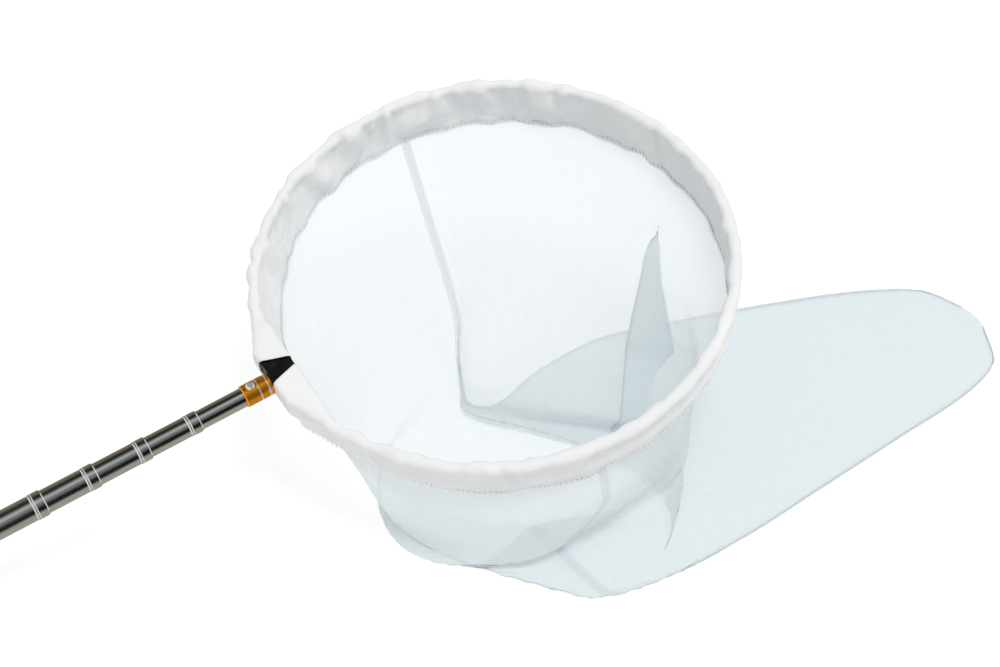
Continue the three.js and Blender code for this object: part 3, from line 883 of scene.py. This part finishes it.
def gathers(arc, row, seed=5):
    """Folds of cloth: each starts in a pinch on the wire and runs down a wall, leaning."""
    rng = np.random.default_rng(seed)
    height = np.zeros(np.broadcast(arc, row).shape)
    for side in (-1, 1):
        down = np.clip(side * row, 0, 1)
        below_wire = np.clip((side * row + 0.1) / 0.3, 0, 1)
        place = 8.0
        while place < arc[0, -1] - 8:
            width = rng.uniform(4.0, 9.5) * (1 + 0.7 * down)
            off = arc - place - rng.normal(0, 20) * down
            turned = rng.choice((-1, 1)) * 1.7
            fold = -np.exp(-(off / width) ** 2) + 0.7 * np.exp(-((off / width - turned) / 1.2) ** 2)
            reach = np.clip(1 - down / rng.uniform(0.5, 1.1), 0, 1) ** 0.7
            height += rng.uniform(0.4, 1.0) * fold * reach * below_wire
            place += rng.uniform(10, 27)
    return height


def relaxed_sleeve():
    base, angles = sleeve_base()
    arc = np.radians(SLEEVE_ENDS[0] - angles)[None, :] * HOOP_RADIUS
    row = np.linspace(-1, 1, SLEEVE_ROWS)[:, None]
    to_end = np.minimum(arc, arc[0, -1] - arc)
    off_hub = (1 - beside_hub(angles) ** 0.5)[None, :]
    free = smooth_blend((to_end - 6) / 40) * off_hub * np.ones_like(row)
    # the cloth is bunched more on the far left of the hoop than on the right
    bunched = 0.7 + 0.3 * np.cos(np.radians(angles - 125))[None, :]
    slack = ripples(arc, row * 45, 14, 60, 150, 8, 0.6)
    on_wall = np.exp(-((np.abs(row) - 0.6) / 0.3) ** 2)
    height = (GATHER_DEPTH * gathers(arc, row) + 1.3 * slack * on_wall) * bunched * free
    height *= (1 - 0.8 * row ** 8) * (1 - 0.45 * np.clip(row / 0.3 + 0.6, 0, 1))  # calmer outside
    out = surface_normals(base, False)
    if np.mean(out[SLEEVE_ROWS // 2, :, 2]) < 0:
        out = -out
    start = base + out * (0.4 + height)[:, :, None]
    turn = np.radians(angles)
    centre_out = stacked(np.cos(turn), np.sin(turn), 0)[None]
    hem = np.abs(row) ** 3 * free
    start[:, :, 2] += 1.0 * ripples(arc, row * 0, 12, 25, 90, 21, 0.1) * hem
    start += centre_out * (0.9 * ripples(arc, row * 0, 12, 22, 70, 23, 0.1) * hem)[:, :, None]
    cloth = Cloth(start, np.full(start.shape[:2], 0.012), wrap=False, bend=0.25)
    target = start.reshape(-1, 3).copy()
    hold = 0.002 + 0.25 * (1 - free) + 0 * row
    hold[[0, -1]] = 1
    hold[[1, -2]] = 0.25
    inner = (row < 0) & (arc >= 0)
    wall = np.broadcast_to(hem_radius(angles)[None, :], base.shape[:2])

    def limit(points):
        grid = points.reshape(base.shape)
        radius = np.hypot(grid[:, :, 0], grid[:, :, 1]) + 1e-9
        height_now = grid[:, :, 2]
        # outside the wire
        from_wire = np.hypot(radius - HOOP_RADIUS, height_now) + 1e-9
        push = np.maximum(0, (WIRE_RADIUS + 0.9) / from_wire - 1)
        new_radius = radius + (radius - HOOP_RADIUS) * push
        grid[:, :, 2] = height_now * (1 + push)
        # the two layers stay on their own sides below the wire
        share = np.clip(-grid[:, :, 2] / HEM_DROP, 0, 1)
        between = HOOP_RADIUS + (wall - HOOP_RADIUS) * share
        below = grid[:, :, 2] < -WIRE_RADIUS - 1
        new_radius = np.where(below & inner, np.minimum(new_radius, between - 0.5), new_radius)
        new_radius = np.where(below & ~inner, np.maximum(new_radius, between + 0.5), new_radius)
        grid[:, :, :2] *= (new_radius / radius)[:, :, None]

    steps = 70
    cloth.relax(steps, weight=0.004, drag=0.5, target=target, hold=hold.ravel(), limit=limit)
    return cloth.now.reshape(base.shape), angles, arc


def build_sleeve():
    grid, angles, arc = relaxed_sleeve()
    width = np.linspace(0, 1, SLEEVE_ROWS)[:, None] * SLEEVE_WIDTH
    uv = stacked(arc * (1 + WEAVE_GATHER), width).reshape(-1, 2) * MM
    piece = add_piece("sleeve_cloth", from_tool(grid),
                      grid_faces(SLEEVE_ROWS, SLEEVE_COLUMNS), COTTON, "head", ["sleeve"],
                      uv, sharp=None)
    thicken(piece, 0.5 * MM)
    turn = np.radians(angles)
    pieces = []
    for name, row, edge, sign in (("inner", 1, 0, -1), ("outer", -2, -1, 1)):
        line = grid[row] * 0.8 + grid[edge] * 0.2
        out = stacked(np.cos(turn), np.sin(turn), 0) * sign
        up = stacked(0 * turn, 0, 1)
        path = from_tool(line + out * 0.45)
        pieces.append(stitches(f"hem_overlock_{name}", path, out @ TOOL_AXES, 1.9 * MM, 0.3 * MM,
                               0.5 * MM, 3.2 * MM, up @ TOOL_AXES))
    return piece, pieces


def thicken(piece, thickness):
    bpy.context.view_layer.objects.active = piece
    solid = piece.modifiers.new("thickness", "SOLIDIFY")
    solid.thickness = thickness
    solid.offset = 0
    bpy.ops.object.modifier_apply(modifier=solid.name)


# ---- Hard pieces ----


def ring_piece():
    """The hoop's wire: one open ring whose ends sit in the hub."""
    rings, sides = 241, 20
    turn = np.radians(np.linspace(-180 + WIRE_ENDS, 180 - WIRE_ENDS, rings))[:, None]
    lean = np.arange(sides)[None, :] * 2 * math.pi / sides
    radius = HOOP_RADIUS + WIRE_RADIUS * np.cos(lean)
    points = stacked(radius * np.cos(turn), radius * np.sin(turn), WIRE_RADIUS * np.sin(lean))
    faces = grid_faces(rings, sides, wrap_columns=True)
    faces += [list(range(sides)), list(range(rings * sides - 1, (rings - 1) * sides - 1, -1))]
    add_piece("hoop_wire", from_tool(points), faces, WIRE_STEEL, "head", ["hoop"])


MOULDING_EDGE = 0.8 * MM


def hub_moulding(node):
    """One half of the hub: its CAD shape with rounded edges."""
    name = f"{node}_moulding"
    mesh = frame["nodes"][node].data.copy()
    mesh.name = name
    mesh.materials.clear()
    mesh.materials.append(NYLON)
    piece = add_object(name, mesh)
    shape = bmesh.new()
    shape.from_mesh(mesh)
    bmesh.ops.remove_doubles(shape, verts=shape.verts, dist=1e-6)
    bmesh.ops.dissolve_limit(shape, angle_limit=math.radians(1), verts=shape.verts, edges=shape.edges)
    shape.to_mesh(mesh)
    shape.free()
    bpy.context.view_layer.objects.active = piece
    bevel = piece.modifiers.new("edges", "BEVEL")
    bevel.width = MOULDING_EDGE
    bevel.segments = 3
    bevel.limit_method = "ANGLE"
    bevel.angle_limit = math.radians(40)
    bpy.ops.object.modifier_apply(modifier=bevel.name)
    shade(piece.data, 32)
    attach(piece, "head")
    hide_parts(node)


THINNEST_TUBE = 8.0  # outer radius of tube 1
TUBE_STEP = 0.65  # each next tube's radius is this much larger
TUBE_WALL = 0.45


def tube_profile(number):
    front, rear, band = pole_span(f"tube_{number}")
    outer = THINNEST_TUBE + TUBE_STEP * (number - 1)
    inner = outer - TUBE_WALL
    if number == 1:
        return rounded([(front, inner), (front, outer), (rear, outer), (rear, inner)], 0.15)
    # the other tubes have a rolled front end with one groove round it
    corners = [(front, inner), (front, outer - 0.3), (front + 0.9, band), (front + 8.0, band),
               (front + 8.5, band - 0.4), (front + 9.0, band), (front + 9.8, band),
               (front + 10.8, outer), (rear, outer), (rear, inner)]
    return rounded(corners, 0.22, 3)


def build_pole():
    for number, body in enumerate(("stage_1", "stage_2", "stage_3", "stage_4", "handle"), 1):
        turned_piece(f"pole_tube_{number}", tube_profile(number), STEEL, body,
                     [f"tube_{number}"])
    for number in range(1, 5):
        paint(frame["nodes"][f"slide_bush_{number}"], NYLON)


def paint(node, material):
    node.data.materials.clear()
    node.data.materials.append(material)


COLLAR_GROOVES = (214.9, 222.9)  # distances from the hoop's centre
COLLAR_BORE = 4.35
COLLAR_SOCKET = {"radius": 8.3, "from": 223.7}  # the tube's end sits in it


def build_collar():
    front, rear, radius = pole_span("collar")
    socket, floor = COLLAR_SOCKET["radius"], COLLAR_SOCKET["from"]
    corners = [(front, COLLAR_BORE), (front, radius - 0.7), (front + 0.7, radius)]
    for at in COLLAR_GROOVES:
        corners += [(at - 0.55, radius), (at - 0.35, radius - 0.3), (at + 0.35, radius - 0.3),
                    (at + 0.55, radius)]
    corners += [(rear - 0.7, radius), (rear, radius - 0.7), (rear, socket), (floor, socket),
                (floor, COLLAR_BORE)]
    points, faces = lathe(rounded(corners, 0.15, 3), 128)
    piece = add_piece("pole_collar", from_tool(points), faces, [ORANGE, BARE_ALLOY],
                      "stage_1", ["collar"])
    for face in piece.data.polygons:
        local = to_tool(face.center)
        away = math.hypot(local[1], local[2])
        in_groove = any(abs(-local[0] - at) < 0.6 for at in COLLAR_GROOVES)
        if in_groove and radius - 0.4 < away < radius - 0.01:
            face.material_index = 1


SHANK_LENGTH = 2.2
SHANK_RADIUS = 1.5
HEAD_RIM = 0.6  # height of the head's straight edge, under the dome
SOCKET_DEPTH = 1.1


def button_screw(name, node, height, socket, body, material):
    """A socket screw with a domed head, along the tool's z, in place of its CAD node."""
    local = to_tool(node_points(node))
    low, high = local.min(0), local.max(0)
    x, y, _ = (low + high) / 2
    head, top = (high[0] - low[0]) / 2, high[2]
    base = top - height
    rim, tip = base + HEAD_RIM, base - SHANK_LENGTH
    corners = [(tip, ON_AXIS), (tip, SHANK_RADIUS - 0.05), (base, SHANK_RADIUS), (base, head),
               (rim, head)]
    dome = top - base - HEAD_RIM
    for k in range(1, 7):
        turn = k / 7 * math.pi / 2
        corners.append((rim + dome * math.sin(turn), head * math.cos(turn) ** 0.7))
    corners += [(top, socket * 1.25), (top - 0.12, socket * 1.1),
                (top - SOCKET_DEPTH, socket * 1.1), (top - SOCKET_DEPTH, ON_AXIS)]
    profile = np.array(corners)
    sides = 48
    turn = np.arange(sides) * 2 * math.pi / sides
    radius = np.repeat(profile[:, 1:], sides, axis=1)
    # the socket's wall follows a hexagon
    radius[-3:-1] = socket / np.cos((turn + math.pi / 6) % (math.pi / 3) - math.pi / 6)
    points = stacked(x + radius * np.cos(turn), y + radius * np.sin(turn), profile[:, :1])
    faces = grid_faces(len(corners), sides, wrap_rows=True, wrap_columns=True)
    add_piece(name, from_tool(points), faces, material, body, [node], sharp=30)


def build_screws():
    button_screw("collar_button_screw", "collar_screw", 2.2, 1.25, "stage_1", SCREW_STEEL)
    for side in ("left", "right"):
        button_screw(f"hub_cap_screw_{side}", f"hub_screw_{side}", 1.2, 1.1, "head", BLACK_STEEL)


GRIP_BORE = 10.75
GRIP_GROOVES = 8
GRIP_GROOVE_DEPTH = 0.75
GRIP_PLAIN = 20.0  # the smooth stretch at each end
CAP_PLUG = 9.9  # radius of the butt cap's plug, inside the tube


def build_grip():
    front, rear, radius = pole_span("grip")
    bore = GRIP_BORE
    corners = [(front, bore), (front, radius - 3), (front + 0.6, radius - 1.2), (front + 3, radius)]
    pitch = (rear - front - 2 * GRIP_PLAIN) / GRIP_GROOVES
    low = radius - GRIP_GROOVE_DEPTH
    for k in range(GRIP_GROOVES):
        at = front + GRIP_PLAIN + pitch * (k + 0.5)
        corners += [(at - 2.2, radius), (at - 0.8, low), (at + 0.8, low), (at + 2.2, radius)]
    corners += [(rear - 1, radius), (rear, radius - 0.8), (rear, bore)]
    piece = turned_piece("grip_foam", rounded(corners, 0.8, 4), FOAM, "handle", ["grip"])
    seat = rear + 0.3
    front, rear, radius = pole_span("end_cap")
    corners = [(front, ON_AXIS), (front, CAP_PLUG), (seat, CAP_PLUG), (seat, radius),
               (rear - 2, radius), (rear - 0.6, radius - 0.8), (rear, radius - 2.6), (rear, 5.0),
               (rear - 0.8, 4.2), (rear - 0.8, ON_AXIS)]
    turned_piece("butt_cap", rounded(corners, 0.4, 4), NYLON, "handle", ["end_cap"])


def build_head():
    ring_piece()
    for node in ("hub_body", "hub_cover"):
        hub_moulding(node)
    paint(frame["nodes"]["head_stud"], SCREW_STEEL)
    paint(frame["nodes"]["thread_washer"], NYLON)


# ---- Scene ----


def build_camera():
    data = bpy.data.cameras.new("camera")
    data.lens = CAMERA["lens"]
    data.sensor_width = 36
    data.clip_end = 50
    camera = add_object("camera", data)
    turn, rise = math.radians(CAMERA["azimuth"]), math.radians(CAMERA["elevation"])
    right = np.array([math.cos(turn), math.sin(turn), 0])
    back = np.array([math.sin(turn) * math.cos(rise), -math.cos(turn) * math.cos(rise), math.sin(rise)])
    up = np.cross(back, right)
    aside = right * CAMERA_OFFSET[0] + up * CAMERA_OFFSET[1]
    camera.location = CENTRE + aside + back * CAMERA["distance"]
    camera.rotation_euler = (math.pi / 2 - rise, 0, turn)
    bpy.context.scene.camera = camera
    return back


# The studio as the polished pieces see it: grey levels round the pole's axis, by turns from the
# side that faces the camera, upwards.
STUDIO_BANDS = [
    (0.00, (0.19, 0.195, 0.195)), (0.03, (0.25, 0.26, 0.262)), (0.055, (0.44, 0.46, 0.465)),
    (0.085, (0.48, 0.50, 0.51)), (0.115, (0.24, 0.25, 0.255)), (0.15, (0.06, 0.062, 0.065)),
    (0.18, (0.010, 0.010, 0.010)), (0.205, (0.016, 0.015, 0.012)), (0.24, (0.08, 0.07, 0.045)),
    (0.30, (0.17, 0.15, 0.11)), (0.38, (0.24, 0.22, 0.18)), (0.50, (0.36, 0.35, 0.31)),
    (0.62, (0.40, 0.39, 0.35)), (0.74, (0.39, 0.38, 0.32)), (0.79, (0.36, 0.35, 0.29)),
    (0.815, (0.26, 0.25, 0.21)), (0.835, (0.05, 0.048, 0.042)), (0.86, (0.010, 0.010, 0.010)),
    (0.92, (0.006, 0.006, 0.006)), (0.945, (0.05, 0.05, 0.05)), (0.965, (0.13, 0.133, 0.133)),
    (1.00, (0.19, 0.195, 0.195)),
]
# Steeply turned edges of the turned pieces catch a bright panel at the pole's end.
END_PANEL = {"middle": 0.257, "from": 0.30, "full": 0.55, "level": 0.85}
WORLD_LEVEL = 0.74
BACKDROP_LEVEL = 1.15  # what the camera sees beyond the floor


def build_world(back):
    world = bpy.data.worlds.new("studio")
    bpy.context.scene.world = world
    world.use_nodes = True
    world.cycles.sampling_method = "NONE"
    studio = Nodes(world.node_tree)
    plain = studio.tree.nodes["Background"]
    plain.inputs["Color"].default_value = (1, 1, 1, 1)
    plain.inputs["Strength"].default_value = WORLD_LEVEL
    facing = unit(back - ALONG * (back @ ALONG))
    upward = np.cross(facing, ALONG)
    if upward[2] < 0:
        upward = -upward
    direction = studio.node("ShaderNodeTexCoord").outputs["Generated"]
    rise, depth, along = (studio.dot(direction, axis) for axis in (upward, facing, ALONG))
    turn = studio.math("ARCTAN2", rise, depth)
    share = studio.math("FRACT", studio.math("DIVIDE", turn, 2 * math.pi))
    ramp = studio.node("ShaderNodeValToRGB", {0: share})
    bands = ramp.color_ramp.elements
    while len(bands) > 1:
        bands.remove(bands[-1])
    bands[0].position, bands[0].color = STUDIO_BANDS[0][0], (*STUDIO_BANDS[0][1], 1)
    for place, colour in STUDIO_BANDS[1:]:
        bands.new(place).color = (*colour, 1)
    off_side = studio.math("ABSOLUTE", studio.math("SUBTRACT", along, END_PANEL["middle"]))
    panel = studio.node("ShaderNodeMapRange", {
        "Value": off_side, "From Min": END_PANEL["from"], "From Max": END_PANEL["full"],
    }, interpolation_type="SMOOTHSTEP").outputs[0]
    lit = studio.blend(panel, ramp.outputs[0], [END_PANEL["level"]] * 3)
    banded = studio.node("ShaderNodeBackground", {"Color": lit}).outputs[0]
    backdrop = studio.node("ShaderNodeBackground", {"Strength": BACKDROP_LEVEL}).outputs[0]
    ray = studio.node("ShaderNodeLightPath").outputs
    around = studio.mix_shader(ray["Is Glossy Ray"], plain.outputs[0], banded)
    seen = studio.mix_shader(ray["Is Camera Ray"], around, backdrop)
    studio.set(studio.tree.nodes["World Output"].inputs["Surface"], seen)


SUN_FROM = (0.12, -0.30, 0.94)  # the key light stands high on the camera's side
SUN_ENERGY = 1.55
SUN_ANGLE = 22.0  # a wide, soft light


def build_lights():
    data = bpy.data.lights.new("overhead", "SUN")
    data.energy = SUN_ENERGY
    data.angle = math.radians(SUN_ANGLE)
    light = add_object("overhead", data)
    light.rotation_mode = "QUATERNION"
    light.rotation_quaternion = Vector(SUN_FROM).to_track_quat("Z", "Y")
    light.visible_glossy = False


# The floor is a light table: it glows, so the cloth is lit from below and throws hardly any shadow.
FLOOR_TONE = 0.32
FLOOR_GLOW = 0.72
FLOOR_REACH = 8.0


def build_floor():
    height = FLOOR - 0.2 * MM
    corners = ((-1, -1), (1, -1), (1, 1), (-1, 1))
    points = [(x * FLOOR_REACH, y * FLOOR_REACH, height) for x, y in corners]
    mesh = bpy.data.meshes.new("floor")
    mesh.from_pydata(points, [], [(0, 1, 2, 3)])
    floor = add_object("floor", mesh)
    mesh.materials.append(Shader("floor").principled(
        Base_Color=(FLOOR_TONE, FLOOR_TONE, FLOOR_TONE, 1), Roughness=0.9,
        Emission_Color=(1, 1, 1, 1), Emission_Strength=FLOOR_GLOW, Specular_IOR_Level=0.0))
    floor.visible_glossy = False


camera_back = build_camera()
build_world(camera_back)
build_lights()
build_floor()
bpy.context.scene.view_settings.view_transform = "Standard"

build_head()
build_collar()
build_screws()
build_pole()
build_grip()
sleeve_piece, sleeve_extras = build_sleeve()
lower_piece, upper_piece, seam_pieces = build_bag()
